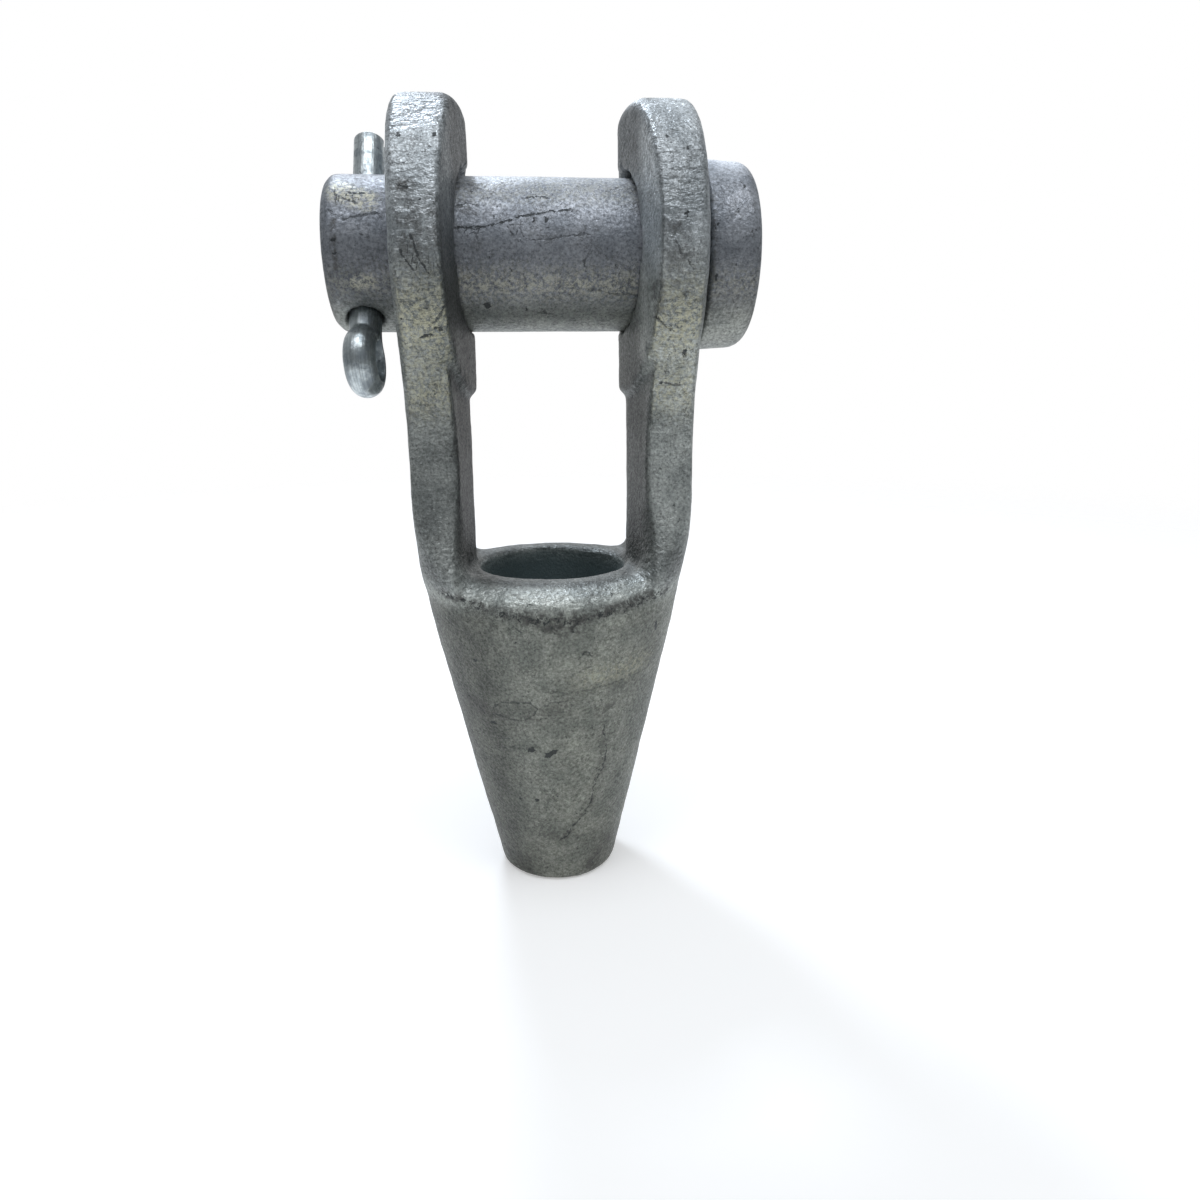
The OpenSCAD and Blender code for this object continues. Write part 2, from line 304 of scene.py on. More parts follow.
pale_cone = 0.5 * step(x, -2, 12) * hill(z - 0.12 * np.maximum(x - 5, 0), 62, 3.2)
kept(socket.data, "pale", facing * (ears_painted_light_from_below * rim + pale_cone * (z < 80)))
# Painted olive cast of light from below: full below the shoulder, half up to the pin, none on the ears' crowns.
kept(socket.data, "painted_ground_cast", 1 - 0.5 * step(z, 76, 84) - 0.5 * step(z, 145, 165))

# Painted light and shade, kept in the zinc's colour: lighter and darker from the foot to the crowns, then left
# against right on the legs and the ears, a painted highlight on the shoulder with darker outer corners, the faces
# between the legs dark on the left and light on the right ear, the cone's darker sides, a lighter right leg and a
# darker ring round the mouth.
painted_shading = along(z, (0, 0.78), (30, 0.90), (70, 0.90), (79, 1.05), (82, 1.9), (85, 1.15), (92, 0.92),
             (120, 0.92), (138, 1.1), (150, 0.92), (165, 1.25), (180, 1.42), (195, 1.2))
painted_shading *= 1 + (0.24 * step(x, -5, 5) - 0.12) * step(z, 88, 96)
painted_shading *= np.where(x < 0, along(z, (150, 1.0), (165, 1.35), (178, 1.45), (188, 0.95), (195, 0.6)),
                 along(z, (150, 1.0), (165, 1.05), (178, 0.78), (188, 1.05), (195, 1.7)))
painted_shading *= 1 - 0.4 * step(np.abs(x), 24, 30) * step(z, 78, 81) * (1 - step(z, 88, 94))
inner_painted_shading = np.where(x < 0, along(z, (88, 0.30), (130, 0.22), (150, 0.22), (165, 0.6), (195, 0.95)),
                      along(z, (88, 0.6), (132, 0.85), (146, 1.5), (165, 1.95), (180, 1.4), (195, 1.05)))
painted_shading += (inner_painted_shading - painted_shading) * inner_face
painted_shading *= 1 - (0.55 * step(-side, 0.15, 0.7) + 0.25 * step(side, 0.3, 0.7)) * (1 - step(z, 76, 82))
painted_shading *= 1 + 0.22 * step(x, 10, 20) * step(z, 90, 98) * (1 - step(z, 138, 150)) * (1 - inner_face)
kept(socket.data, "painted_shading", painted_shading * (1 - 0.56 * mouth))

scratched(socket.data, [
    (0.8, [(11.0, 48.6), (10.7, 46.4), (11.7, 42.5), (11.4, 38.2), (10.9, 34.9), (9.3, 32.5), (8.0, 28.1),
           (8.0, 25.5), (6.2, 22.1), (2.7, 17.8), (1.6, 15.3), (-0.5, 13.9)]),
    (0.7, [(-16.5, 53.3), (-14.7, 55.2), (-11.0, 56.1), (-7.4, 55.9), (-5.7, 54.6), (-6.5, 52.5), (-9.4, 50.8),
           (-13.6, 51.3), (-16.0, 51.9), (-16.5, 53.3)]),
    (0.5, [(-3.6, 55.6), (-1.9, 56.6), (2.3, 56.6), (3.2, 55.1), (1.3, 53.6), (-1.4, 53.7)]),
    (0.6, [(-16.5, 47.2), (-15.8, 44.3), (-12.6, 45.2)]),
    (0.5, [(-11.6, 43.0), (-13.7, 41.9), (-15.7, 41.9)]),
    (0.45, [(-3.3, 59.2), (4.0, 59.0), (13.0, 59.9), (22.5, 61.2), (27.0, 65.0)]),
    (0.7, [(4.9, 68.5), (6.3, 70.0), (7.6, 68.5)]),
    (0.6, [(-12.0, 75.5), (-10.4, 76.4), (-9.0, 75.5)]),
    (0.5, [(3.0, 63.5), (4.7, 64.5), (7.1, 65.5)]),
    (0.4, [(-2.9, 66.3), (-2.2, 68.2), (-1.5, 69.5)]),
    (0.9, [(-28.6, 161.0), (-27.5, 157.2), (-26.6, 155.7), (-25.7, 154.2)]),
    (0.9, [(-31.0, 158.4), (-30.1, 156.6), (-29.1, 154.9)]),
    (0.7, [(-24.0, 157.6), (-23.6, 155.2)]),
    (0.8, [(-24.9, 144.8), (-24.0, 145.6), (-23.2, 147.4)]),
    (0.8, [(-31.1, 171.0), (-29.6, 170.4), (-28.2, 170.6)]),
    (0.8, [(22.6, 145.4), (23.9, 144.4), (25.0, 143.2), (26.3, 142.7)]),
    (0.7, [(25.5, 131.4), (28.5, 130.7), (29.9, 130.9)]),
    (0.6, [(26.2, 160.2), (27.2, 158.0)]),
    (0.6, [(28.4, 157.4), (29.4, 155.6)]),
])
marked(socket.data, "pit", [
    (0.75, 0.6, 1.0, [(-7.5, 42.4), (-6.9, 42.4)]),
    (0.7, 0.6, 1.0, [(-3.4, 40.9), (-2.6, 41.2), (-1.6, 42.1)]),
    (0.4, 0.6, 0.9, [(1.7, 38.7)]),
    (0.45, 0.6, 0.9, [(-10.6, 26.7)]),
    (0.55, 0.6, 1.0, [(-6.3, 26.9)]),
    (0.5, 0.6, 0.9, [(-17.0, 49.0), (-16.2, 49.0)]),
    (0.45, 0.6, 0.9, [(-10.5, 72.5)]),
    (0.5, 0.6, 0.9, [(-20.3, 66.2)]),
    (0.4, 0.6, 0.9, [(24.4, 73.5), (24.4, 71.4)]),
    (0.4, 0.6, 0.8, [(20.7, 40.9)]),
    (0.6, 0.6, 0.9, [(-30.5, 181.2)]),
    (0.5, 0.6, 0.9, [(-23.4, 181.4)]),
    (0.4, 0.6, 0.8, [(-26.9, 167.9)]),
    (0.5, 0.8, 0.8, [(-24.8, 143.4), (-23.9, 142.9)]),
    (0.3, 0.6, 0.8, [(-28.4, 141.4), (-27.2, 141.9), (-26.0, 141.7)]),
    (0.4, 0.6, 0.8, [(-31.9, 145.3)]),
    (0.5, 0.6, 0.9, [(25.2, 181.8)]),
    (0.45, 0.6, 0.8, [(29.2, 179.4)]),
    (0.5, 0.6, 0.9, [(28.0, 166.3), (28.1, 165.6)]),
    (0.45, 0.6, 0.9, [(29.7, 138.4), (29.6, 137.2)]),
    (0.4, 0.6, 0.9, [(25.0, 131.2)]),
    # Pits along and under the shoulder's lower edge, where it turns down into the cone; their darkness there is
    # painted shade.
    (1.3, 1.6, 0.42, [(-28.1, 82.5), (-24.2, 81.6), (-20.8, 80.4), (-16.0, 79.4), (-11.4, 78.8), (-6.8, 78.4),
                      (-1.1, 78.0), (4.7, 78.0), (9.4, 78.4), (14.4, 79.0), (19.6, 79.8), (23.6, 80.8), (26.6, 81.6)]),
    (1.8, 2.0, 0.38, [(-4.0, 76.6), (3.6, 76.2)]),
    (2.0, 2.0, 0.36, [(-22.3, 53.7), (-17.5, 51.8)]),
    (1.6, 2.0, 0.3, [(-10.0, 51.8), (1.0, 53.4)]),
    (1.4, 2.0, 0.34, [(10.6, 44.0), (9.8, 36.0), (7.4, 26.0), (1.6, 17.0)]),
    (2.0, 2.4, 0.34, [(8.4, 4.3), (12.9, 9.8)]),
])
marked(socket.data, "stain", [
    (3.0, 3.0, 0.7, [(-29.2, 166.0), (-28.4, 158.0)]),
    (1.4, 2.0, 0.7, [(-24.2, 168.0), (-23.8, 160.0)]),
    (1.4, 1.6, 0.9, [(-31.0, 171.0), (-28.6, 170.6)]),
    (2.6, 3.5, 0.7, [(26.0, 163.0), (27.4, 154.0)]),
    (1.2, 2.0, 0.7, [(22.4, 152.0), (22.8, 146.0)]),
    (2.2, 2.4, 0.75, [(-22.3, 53.7), (-18.5, 52.3)]),
    (2.4, 3.0, 0.5, [(-17.0, 51.0), (-8.0, 52.6), (1.0, 55.0)]),
    (1.2, 1.6, 0.8, [(9.8, 52.3), (11.3, 53.1), (13.1, 53.8)]),
    (1.6, 2.4, 0.5, [(12.5, 58.0), (20.5, 58.6)]),
    (1.2, 2.0, 0.5, [(11.2, 45.5), (10.6, 36.0)]),
    (0.6, 0.9, 0.85, [(11.4, 38.2), (10.9, 34.9), (9.3, 32.5), (8.0, 28.1), (8.0, 25.5), (6.2, 22.1), (2.7, 17.8),
                      (1.6, 15.3), (-0.5, 13.9)]),
    (1.2, 1.6, 0.7, [(-4.4, 15.2), (-1.3, 15.2)]),
    (1.0, 1.6, 0.7, [(4.3, 13.8), (6.5, 13.6), (8.4, 14.9)]),
    (2.2, 3.0, 0.8, [(7.7, 3.3), (10.6, 6.1), (13.5, 9.8)]),
    # Dark marks along and under the shoulder's lower edge, where it turns down into the cone: painted shade.
    (1.5, 1.6, 1.0, [(-7.0, 77.8), (5.5, 77.4)]),
    (1.4, 1.6, 0.95, [(-2.8, 76.2), (3.6, 75.8)]),
    (1.0, 1.4, 0.8, [(0.6, 75.0), (1.2, 74.4)]),
    (1.3, 1.6, 0.9, [(-28.1, 82.5), (-24.2, 81.9), (-20.8, 80.8), (-16.0, 79.9), (-11.4, 79.4), (-6.8, 79.0),
                     (-1.1, 78.7), (4.7, 78.8), (9.4, 79.2), (14.4, 79.8), (19.6, 80.6), (23.6, 81.5), (26.6, 82.0)]),
])


def new_tree(name, *inputs):
    """A Geometry Nodes tree with named inputs, and what they give."""
    tree = bpy.data.node_groups.new(name, "GeometryNodeTree")
    for title, kind in (("Geometry", "Geometry"), *inputs, ("Skin", "Material")):
        tree.interface.new_socket(title, in_out="INPUT", socket_type="NodeSocket" + kind)
    tree.interface.new_socket("Geometry", in_out="OUTPUT", socket_type="NodeSocketGeometry")
    return tree, put(tree, "NodeGroupInput").outputs


def closed_off(tree, shape, skin):
    """Ends a tree: real geometry, with its material."""
    real = put(tree, "GeometryNodeRealizeInstances", {"Geometry": shape}).outputs[0]
    skinned = put(tree, "GeometryNodeSetMaterial", {"Geometry": real, "Material": skin}).outputs[0]
    put(tree, "NodeGroupOutput", {"Geometry": skinned})


relief, given = new_tree("forged_relief", ("Lump height", "Float"), ("Lump size", "Float"),
                         ("Hammer height", "Float"), ("Hammer size", "Float"), ("Seed", "Float"))
place = put(relief, "GeometryNodeInputPosition").outputs[0]
rises = []
for height, size, detail in (("Lump height", "Lump size", 1.0), ("Hammer height", "Hammer size", 2.0)):
    links = {"Vector": place, "W": given["Seed"], "Scale": sums(relief, "DIVIDE", 1.0, given[size]), "Detail": detail}
    noise = put(relief, "ShaderNodeTexNoise", links, noise_dimensions="4D").outputs[0]
    rises.append(sums(relief, "MULTIPLY", sums(relief, "SUBTRACT", noise, 0.5), given[height]))
forged = put(relief, "GeometryNodeInputNamedAttribute", {"Name": "forged"}, data_type="FLOAT").outputs["Attribute"]
outwards = put(relief, "GeometryNodeInputNormal").outputs[0]
amount = sums(relief, "MULTIPLY", sums(relief, "ADD", *rises), forged)
push = put(relief, "ShaderNodeVectorMath", {0: outwards, "Scale": amount}, operation="SCALE").outputs[0]
moved = put(relief, "GeometryNodeSetPosition", {"Geometry": given["Geometry"], "Offset": push}).outputs[0]
closed_off(relief, moved, given["Skin"])


def grown(piece, tree, values):
    """Runs a tree on a piece, with values given by input name, and keeps the result as the piece's mesh."""
    grow = piece.modifiers.new("grow", "NODES")
    grow.node_group = tree
    for item in tree.interface.items_tree:
        if item.in_out == "INPUT" and item.name in values:
            grow[item.identifier] = values[item.name]
    result = bpy.data.meshes.new_from_object(piece.evaluated_get(bpy.context.evaluated_depsgraph_get()))
    piece.modifiers.clear()
    piece.data = result


def kept_inside(piece, node_name):
    """Holds the mesh inside its CAD node's box."""
    low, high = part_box(node_name)
    piece.data.vertices.foreach_set("co", np.clip(points_of(piece.data), low, high).ravel())
    piece.data.shade_smooth()
    piece.data.update()


def grain(tree, place, size, detail, rough, seed, stretch=(1, 1, 1)):
    """Noise whose features are about size millimetres across, from 0 to 1."""
    to_mm = tuple(1000 * s for s in stretch)
    scaled = put(tree, "ShaderNodeVectorMath", {0: place, 1: to_mm}, operation="MULTIPLY").outputs[0]
    links = {"Vector": scaled, "W": seed, "Scale": 1 / size, "Detail": detail, "Roughness": rough}
    return put(tree, "ShaderNodeTexNoise", links, noise_dimensions="4D").outputs[0]


def mixed(tree, factor, a, b, blend="MIX"):
    """Two colours mixed by a factor."""
    made = tree.nodes.new("ShaderNodeMix")
    made.data_type = "RGBA"
    made.blend_type = blend
    for key, value in ((0, factor), (6, a), (7, b)):
        if isinstance(value, bpy.types.NodeSocket):
            tree.links.new(value, made.inputs[key])
        else:
            made.inputs[key].default_value = (*value, 1) if isinstance(value, tuple) else value
    return made.outputs[2]


def zinc_skin(name, light, dark, pale, seed, hammer_depth, grain_depth):
    """Hot-dip zinc: mottled grey with a fine grain, with painted light and shade and a painted olive cast from below,
    and with pale patches (partly painted light from below), stains, scratches, pits and hammer marks where the mesh
    says so."""
    painted_ground_cast_tint = (0.96, 0.94, 0.80)
    dirt_colour = (0.085, 0.085, 0.08)
    pit_colour = (0.035, 0.04, 0.042)
    skin = bpy.data.materials.new(name)
    skin.use_nodes = True
    tree = skin.node_tree
    place = put(tree, "ShaderNodeTexCoord").outputs["Object"]
    shader = tree.nodes["Principled BSDF"]

    def felt(attribute):
        return put(tree, "ShaderNodeAttribute", attribute_name=attribute).outputs["Fac"]

    def patches(size, detail, rough, offset):
        return grain(tree, place, size, detail, rough, seed + offset)

    def wavering(value, noise):
        """value, made uneven by up to a half either way."""
        return sums(tree, "ADD", value, ramped(tree, noise, 0.2, 0.8, -0.5, 0.5, "LINEAR"))

    # The zinc's colour: mottled, with the painted olive cast from below towards the foot, and the mesh's painted light
    # and shade.
    fine = patches(0.75, 4, 0.8, 2)
    rough_spot = patches(1.1, 3, 0.75, 9)
    colour = mixed(tree, ramped(tree, patches(9, 5, 0.66, 0), 0.36, 0.64), dark, light)
    colour = mixed(tree, felt("painted_ground_cast"), colour, painted_ground_cast_tint, "MULTIPLY")
    shade = sums(tree, "MULTIPLY", felt("painted_shading"), ramped(tree, fine, 0.30, 0.70, 0.35, 1.65, "LINEAR"))
    colour = mixed(tree, 1.0, colour, shade, "MULTIPLY")

    # Pale patches, with painted light from below among them, then stains and the fine dark veins between the zinc's
    # crystals.
    pale_patches_and_painted_light = sums(tree, "MULTIPLY", felt("pale"), ramped(tree, patches(1.0, 5, 0.85, 4), 0.44, 0.57))
    colour = mixed(tree, sums(tree, "MULTIPLY", pale_patches_and_painted_light, 0.78, clamp=True), colour, pale)
    off_middle = sums(tree, "ABSOLUTE", sums(tree, "SUBTRACT", patches(3.2, 4, 0.65, 21), 0.5))
    veins = sums(tree, "MULTIPLY", ramped(tree, off_middle, 0.004, 0.022, 0.55, 0),
                 ramped(tree, patches(8, 2, 0.5, 23), 0.48, 0.60))
    dirt = sums(tree, "MULTIPLY", felt("stain"), ramped(tree, patches(2.0, 4, 0.75, 6), 0.40, 0.56))
    dirt = sums(tree, "MAXIMUM", sums(tree, "MULTIPLY", dirt, 0.95, clamp=True), veins)
    colour = mixed(tree, dirt, colour, dirt_colour)

    # Scratches, pits and specks, all dark and sunk.
    wandering = sums(tree, "ABSOLUTE", wavering(felt("across"), patches(1.9, 3, 0.6, 31)))
    width = ramped(tree, rough_spot, 0.38, 0.62, 0.0, 0.38, "LINEAR")
    line = ramped(tree, sums(tree, "SUBTRACT", width, wandering), -0.06, 0.10)
    line = sums(tree, "MULTIPLY", line, felt("scratch"))
    hollow = ramped(tree, wavering(felt("pit"), rough_spot), 0.40, 0.60)
    specks = ramped(tree, patches(1.6, 3, 0.75, 11), 0.65, 0.69, 0, 0.8)
    cut = sums(tree, "MAXIMUM", sums(tree, "MAXIMUM", line, hollow), specks)
    colour = mixed(tree, sums(tree, "MULTIPLY", cut, 0.9), colour, pit_colour)

    # The bore is darker and turned.
    turned = mixed(tree, fine, (0.15, 0.20, 0.21), (0.25, 0.31, 0.32))
    colour = mixed(tree, felt("bored"), colour, turned)
    tree.links.new(colour, shader.inputs["Base Color"])
    shader.inputs["Metallic"].default_value = 0.55
    tree.links.new(ramped(tree, fine, 0.3, 0.7, 0.62, 0.38), shader.inputs["Roughness"])

    # Hammer marks, longer across than they are high, the skin's grain and the sunk marks.
    blows = grain(tree, place, 1.25, 2, 0.55, seed + 13, (0.55, 0.8, 1))
    blows = sums(tree, "MULTIPLY", blows, sums(tree, "MULTIPLY", felt("hammered"), hammer_depth))
    skin_grain = sums(tree, "MULTIPLY", patches(0.55, 2, 0.55, 17), grain_depth)
    height = sums(tree, "ADD", sums(tree, "ADD", blows, skin_grain), sums(tree, "MULTIPLY", cut, -0.12))
    bump = put(tree, "ShaderNodeBump", {"Height": height, "Strength": 1.0, "Distance": 0.001})
    tree.links.new(bump.outputs[0], shader.inputs["Normal"])
    return skin


forging_skin = zinc_skin("galvanised_forging", light=(0.362, 0.386, 0.400), dark=(0.222, 0.242, 0.254),
                         pale=(0.64, 0.62, 0.45), seed=1.0, hammer_depth=0.95, grain_depth=0.26)
grown(socket, relief, {"Lump height": 0.0005, "Lump size": 0.011, "Hammer height": 0.00026, "Hammer size": 0.0028,
                       "Seed": 3.0, "Skin": forging_skin})
kept_inside(socket, "socket")
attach(socket, "socket")
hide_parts("socket")


# Clevis pin. A turned steel bar with a chamfered end, a forged head with a rounded rim and a hole
# drilled across for the split pin. It is galvanised too, but smoother than the socket.
PIN_VOXEL = 0.0007
HEAD_FROM = 34
END_FROM = -34

pin = remeshed("clevis_pin", PIN_VOXEL, "clevis_pin_bar")
eased(pin.data, np.full(len(pin.data.vertices), 0.5), 4)
x, y, z = points_of(pin.data).T * 1000
up = points_of(pin.data, "normal")[:, 2]
head = x > HEAD_FROM
shank = np.abs(x) < 20
kept(pin.data, "forged", np.ones(len(x)))
kept(pin.data, "hammered", 0.25 + 0.25 * head)
kept(pin.data, "bored", np.zeros(len(x)))
# Painted olive cast of light from below on the pin's lower side.
kept(pin.data, "painted_ground_cast", 1 - step(z, 146, 153))
# Pale bands on the pin: the low band, facing forward and down, is painted light from below; a weaker pale band runs
# higher up between the ears.
pale_patches_and_painted_light = hill(z, 153, 3.6) * np.where(shank, 0.7, np.where(head, 0.45, 0.35))
pale_patches_and_painted_light += 0.35 * step(z, 168, 173) * (np.abs(x) < 21)
scuff = (1 - step(from_stroke(x, z, [(-46.0, 172.6), (-39.6, 170.6)])[0], 1.2, 3.4)) * (y < 0)
# A pale streak on the tail, inside the band of painted light from below; the scuff above is wear.
painted_light_streak = (1 - step(from_stroke(x, z, [(-43.0, 153.4), (-39.6, 153.6)])[0], 0.8, 2.2)) * (y < 0)
kept(pin.data, "pale", np.maximum(pale_patches_and_painted_light, np.maximum(1.2 * scuff, 0.9 * painted_light_streak)))
# Painted light and shade on the pin: bands by how far each point faces up, a darker top to the end past the left ear
# and a lighter top to the head.
painted_shading = along(up, (-1, 1.1), (-0.8, 1.1), (-0.45, 0.5), (0, 0.82), (0.3, 1.12), (0.8, 0.95), (1, 1.5))
painted_shading *= np.where(x < END_FROM, 0.85 - 0.6 * step(up, 0.75, 0.92), 1.0) * (1 + step(up, 0.6, 0.9) * head)
kept(pin.data, "painted_shading", painted_shading)
scratched(pin.data, [
    (1.0, [(-20.3, 164.7), (-12.9, 165.4), (-6.2, 167.2), (-0.6, 168.4), (5.0, 168.9)]),
    (0.8, [(-19.8, 169.5), (-18.0, 170.2), (-15.6, 170.0)]),
    (0.9, [(-4.9, 171.4), (-2.7, 171.8), (0.0, 171.6)]),
    (0.6, [(-6.3, 164.4), (-5.9, 163.1), (-4.8, 162.5), (-0.4, 162.3), (2.6, 163.0), (8.6, 163.7)]),
    (0.8, [(-8.8, 164.8), (-7.9, 163.4)]),
    (0.6, [(-17.6, 163.4), (-16.4, 164.0), (-16.0, 162.8)]),
    (0.8, [(8.4, 158.9), (7.8, 157.8), (8.1, 156.9)]),
    (0.6, [(14.0, 173.3), (16.4, 174.2)]),
    (0.5, [(9.8, 151.9), (14.0, 151.3), (20.5, 150.9)]),
    (0.7, [(-2.2, 147.2), (0.4, 146.8)]),
    (0.8, [(-44.6, 166.2), (-42.0, 167.1), (-36.7, 167.8)]),
    (0.6, [(-47.6, 168.4), (-44.8, 166.4)]),
    (0.9, [(-43.6, 172.4), (-40.4, 172.0)]),
    (0.9, [(-44.6, 171.0), (-42.0, 170.2)]),
    (0.8, [(-46.6, 173.0), (-46.0, 170.0)]),
    (0.7, [(-41.0, 163.3), (-39.4, 162.6)]),
])
marked(pin.data, "pit", [
    (0.75, 0.6, 1.0, [(-14.3, 148.6)]),
    (0.45, 0.5, 0.9, [(-5.3, 148.1)]),
    (0.35, 0.5, 0.9, [(-2.9, 167.0), (-2.9, 166.2)]),
    (0.35, 0.5, 0.9, [(-0.4, 167.0), (-0.4, 166.2)]),
    (0.35, 0.5, 0.8, [(-20.2, 157.6)]),
    (0.35, 0.5, 0.8, [(-20.3, 151.8)]),
    (0.55, 0.5, 0.9, [(-46.9, 162.0)]),
    (0.45, 0.5, 0.9, [(-46.9, 159.1)]),
    (0.45, 0.5, 0.9, [(44.5, 174.1)]),
    (0.35, 0.5, 0.8, [(43.9, 175.1)]),
    (0.4, 0.5, 0.8, [(37.4, 165.3)]),
    (0.4, 0.5, 0.9, [(37.2, 154.8), (37.5, 153.7)]),
])
marked(pin.data, "stain", [
    # The first two marks lie where the left ear's shadow falls on the pin: partly dirt, partly painted shadow.
    (1.8, 2.6, 0.7, [(-19.6, 175.0), (-18.4, 169.6)]),
    (1.6, 2.0, 0.5, [(-18.5, 169.6), (-16.0, 168.6)]),
    (1.2, 2.0, 0.6, [(-16.0, 161.0)]),
    # A dark line where the pin goes into the left ear: painted shade.
    (0.8, 1.0, 0.6, [(-21, 166), (-21, 150)]),
    (0.6, 0.8, 0.9, [(-46.6, 166), (-47.0, 156)]),
    (1.8, 2.0, 0.4, [(-46.0, 170.8), (-41.0, 169.8)]),
    # A dark band on the head beside the right ear: painted shade.
    (0.6, 0.8, 0.7, [(36.8, 172), (36.8, 150)]),
])
pin_skin = zinc_skin("galvanised_pin", light=(0.355, 0.375, 0.41), dark=(0.225, 0.245, 0.275),
                     pale=(0.56, 0.55, 0.44), seed=31.0, hammer_depth=0.5, grain_depth=0.12)
grown(pin, relief, {"Lump height": 0.0002, "Lump size": 0.014, "Hammer height": 0.00006, "Hammer size": 0.003,
                    "Seed": 8.0, "Skin": pin_skin})
kept_inside(pin, "clevis_pin")
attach(pin, "pin")
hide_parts("clevis_pin")


# Split pin. Half-round steel wire bent double round an eye, its two legs flat to flat, cut off
# at the tip and bright zinc plated. Its path and its half-round section are swept together.
WIRE_R = 0.0037
WIRE_CORNER = 0.00025
SLIT = 0.00024
EYE_R = 0.0045
NECK_R = 0.0016
NECK_FROM_CENTRE = 0.0201
TIP_FROM_CENTRE = 0.0315
TIP_STEP = 0.0012
TIP_TAPER = 0.8
LEG_POINTS = (0, 0.0007, 0.006, 0.02, 0.04)
NECK_PARTS = 8
EYE_PARTS = 24
HOLE_PLACE = (-0.0423, 0, 0.16064)
TURNED_ABOUT_PIN = -30
TWISTED = -6
LEANS = 0.5

# One leg from its tip down to the neck, the neck's bend and half the eye; then the same back, with
# the second leg cut a little longer.
neck_side = WIRE_R + NECK_R
wire_t = WIRE_R - SLIT / 2
bend = NECK_R + wire_t
neck_to_eye = EYE_R + bend
eye_drop = math.sqrt(neck_to_eye ** 2 - neck_side ** 2)
neck_turn = math.asin(neck_side / neck_to_eye)
half = [(SLIT / 2, TIP_FROM_CENTRE - down) for down in LEG_POINTS]
for k in range(NECK_PARTS + 1):
    a = (math.pi / 2 - neck_turn) * k / NECK_PARTS
    half.append((neck_side - bend * math.cos(a), -NECK_FROM_CENTRE - bend * math.sin(a)))
for k in range(1, EYE_PARTS + 1):
    a = neck_turn + (math.pi - neck_turn) * k / EYE_PARTS
    half.append((EYE_R * math.sin(a), -NECK_FROM_CENTRE - eye_drop + EYE_R * math.cos(a)))
other = [(-px, py) for px, py in reversed(half[:-1])]
other[-2:] = [(px, py + TIP_STEP) for px, py in other[-2:]]
path = half + other
wire_path = bpy.data.meshes.new("wire_path")
wire_path.from_pydata([(px, py, 0) for px, py in path], [(k, k + 1) for k in range(len(path) - 1)], [])
kept(wire_path, "taper", [TIP_TAPER] + [1.0] * (len(path) - 2) + [TIP_TAPER])
wire = bpy.data.objects.new("split_pin_wire", wire_path)
bpy.context.scene.collection.objects.link(wire)


def measured(tree, curve, name):
    """Keeps the length along a curve in a named attribute."""
    length = put(tree, "GeometryNodeSplineParameter").outputs["Length"]
    return put(tree, "GeometryNodeStoreNamedAttribute", {"Geometry": curve, "Name": name, "Value": length},
               data_type="FLOAT", domain="POINT").outputs[0]


sweep, given = new_tree("half_round_wire", ("Wire radius", "Float"), ("Slit", "Float"), ("Corner", "Float"))
line = measured(sweep, put(sweep, "GeometryNodeMeshToCurve", {0: given["Geometry"]}).outputs[0], "wire_along")
flat_turn = math.asin(SLIT / 2 / WIRE_R)
arc = put(sweep, "GeometryNodeCurveArc", {
    "Resolution": 20, "Radius": given["Wire radius"],
    "Start Angle": math.pi / 2 + flat_turn, "Sweep Angle": math.pi - 2 * flat_turn}, mode="RADIUS").outputs[0]
closed = put(sweep, "GeometryNodeSetSplineCyclic", {"Geometry": arc, "Cyclic": True}).outputs[0]
shift = put(sweep, "ShaderNodeCombineXYZ", {"X": sums(sweep, "MULTIPLY", given["Slit"], 0.5)}).outputs[0]
halved = put(sweep, "GeometryNodeTransform", {"Geometry": closed, "Translation": shift}).outputs[0]
softened = put(sweep, "GeometryNodeFilletCurve", {
    "Curve": halved, "Count": 3, "Radius": given["Corner"], "Limit Radius": True}, mode="POLY").outputs[0]
section = measured(sweep, softened, "wire_around")
taper = put(sweep, "GeometryNodeInputNamedAttribute", {"Name": "taper"}, data_type="FLOAT").outputs["Attribute"]
swept = put(sweep, "GeometryNodeCurveToMesh", {
    "Curve": line, "Profile Curve": section, "Scale": taper, "Fill Caps": True}).outputs[0]
closed_off(sweep, swept, given["Skin"])

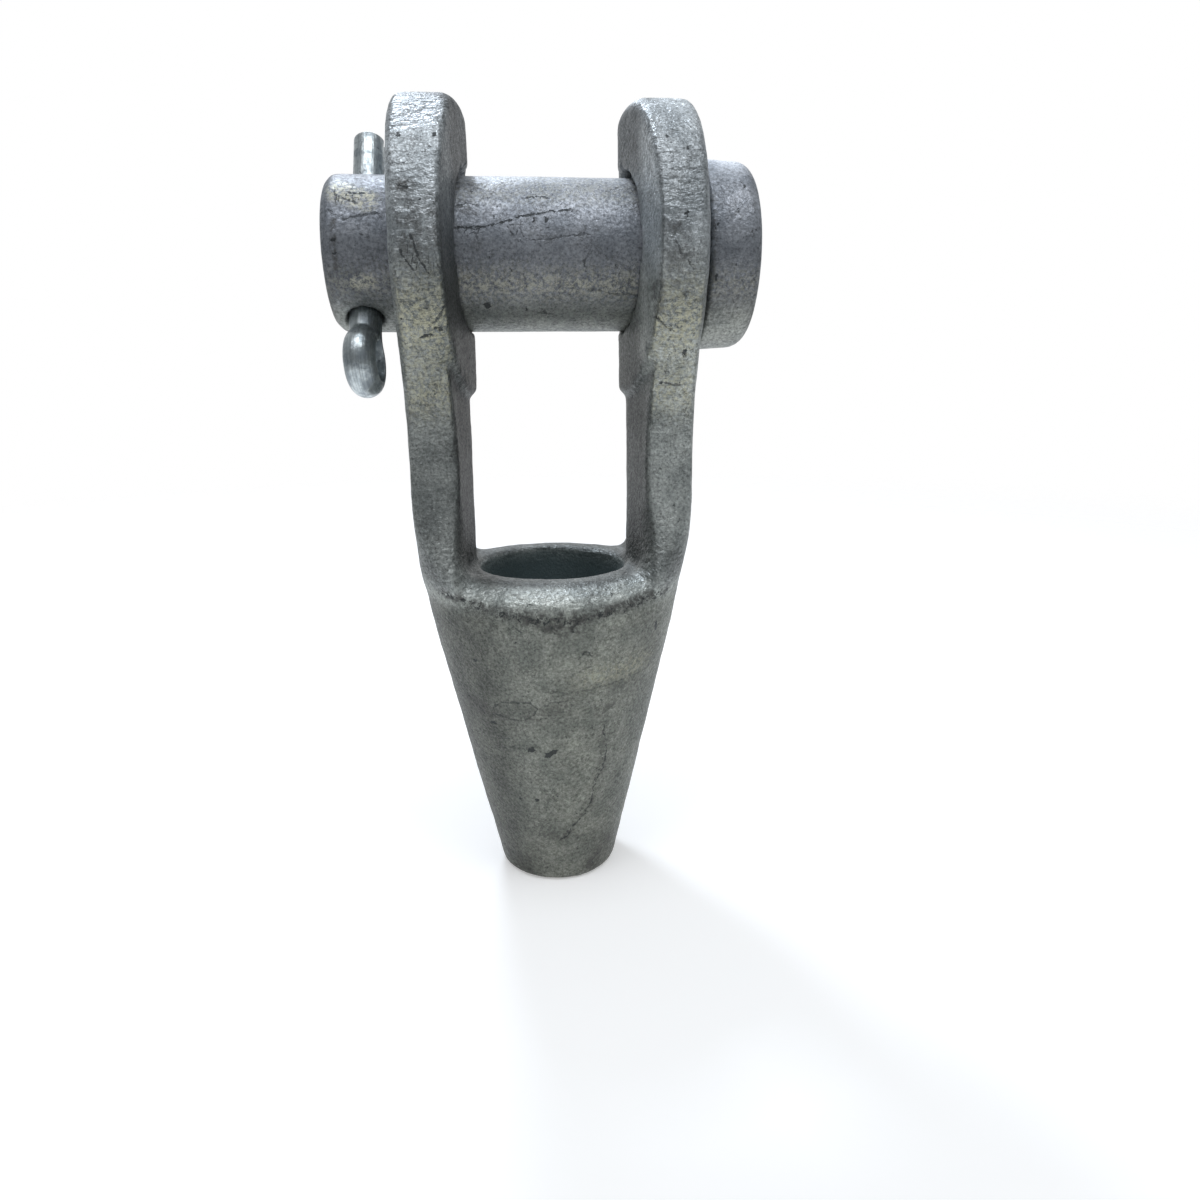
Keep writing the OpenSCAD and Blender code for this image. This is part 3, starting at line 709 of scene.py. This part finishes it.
wire_skin = bpy.data.materials.new("bright_zinc")
wire_skin.use_nodes = True
tree = wire_skin.node_tree
shader = tree.nodes["Principled BSDF"]
place = put(tree, "ShaderNodeTexCoord").outputs["Object"]
lengthwise = put(tree, "ShaderNodeAttribute", attribute_name="wire_along").outputs["Fac"]
crosswise = put(tree, "ShaderNodeAttribute", attribute_name="wire_around").outputs["Fac"]
drawn = put(tree, "ShaderNodeCombineXYZ", {"X": sums(tree, "MULTIPLY", lengthwise, 0.09), "Y": crosswise}).outputs[0]
streak = grain(tree, drawn, 0.5, 3, 0.7, 4.0)
cloud = ramped(tree, grain(tree, place, 2.6, 4, 0.65, 12.0), 0.38, 0.62)
dull_spot = ramped(tree, grain(tree, place, 1.3, 3, 0.7, 21.0), 0.6, 0.7, 0, 0.75)
colour = mixed(tree, cloud, (0.32, 0.36, 0.385), (0.55, 0.60, 0.61))
colour = mixed(tree, 1.0, colour, ramped(tree, streak, 0.3, 0.7, 0.6, 1.25, "LINEAR"), "MULTIPLY")
colour = mixed(tree, dull_spot, colour, (0.13, 0.14, 0.15))
tree.links.new(colour, shader.inputs["Base Color"])
shader.inputs["Metallic"].default_value = 0.9
tree.links.new(ramped(tree, cloud, 0, 1, 0.44, 0.30), shader.inputs["Roughness"])
height = sums(tree, "ADD", sums(tree, "MULTIPLY", streak, 0.03), sums(tree, "MULTIPLY", cloud, 0.05))
bump = put(tree, "ShaderNodeBump", {"Height": height, "Strength": 1.0, "Distance": 0.001})
tree.links.new(bump.outputs[0], shader.inputs["Normal"])

grown(wire, sweep, {"Wire radius": WIRE_R, "Slit": SLIT, "Corner": WIRE_CORNER, "Skin": wire_skin})
onto_axes = Matrix(((0, 0, 1, 0), (1, 0, 0, 0), (0, 1, 0, 0), (0, 0, 0, 1)))
twisted = Matrix.Rotation(math.radians(TWISTED), 4, "Z")
turned = Euler((math.radians(TURNED_ABOUT_PIN), 0, 0)).to_matrix().to_4x4()
leaning = Matrix.Rotation(math.radians(LEANS), 4, "Y")
wire.data.transform(Matrix.Translation(HOLE_PLACE) @ leaning @ turned @ twisted @ onto_axes)
wire.data.shade_smooth()
wire.data.set_sharp_from_angle(angle=math.radians(40))
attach(wire, "keeper")
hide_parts("split_pin")
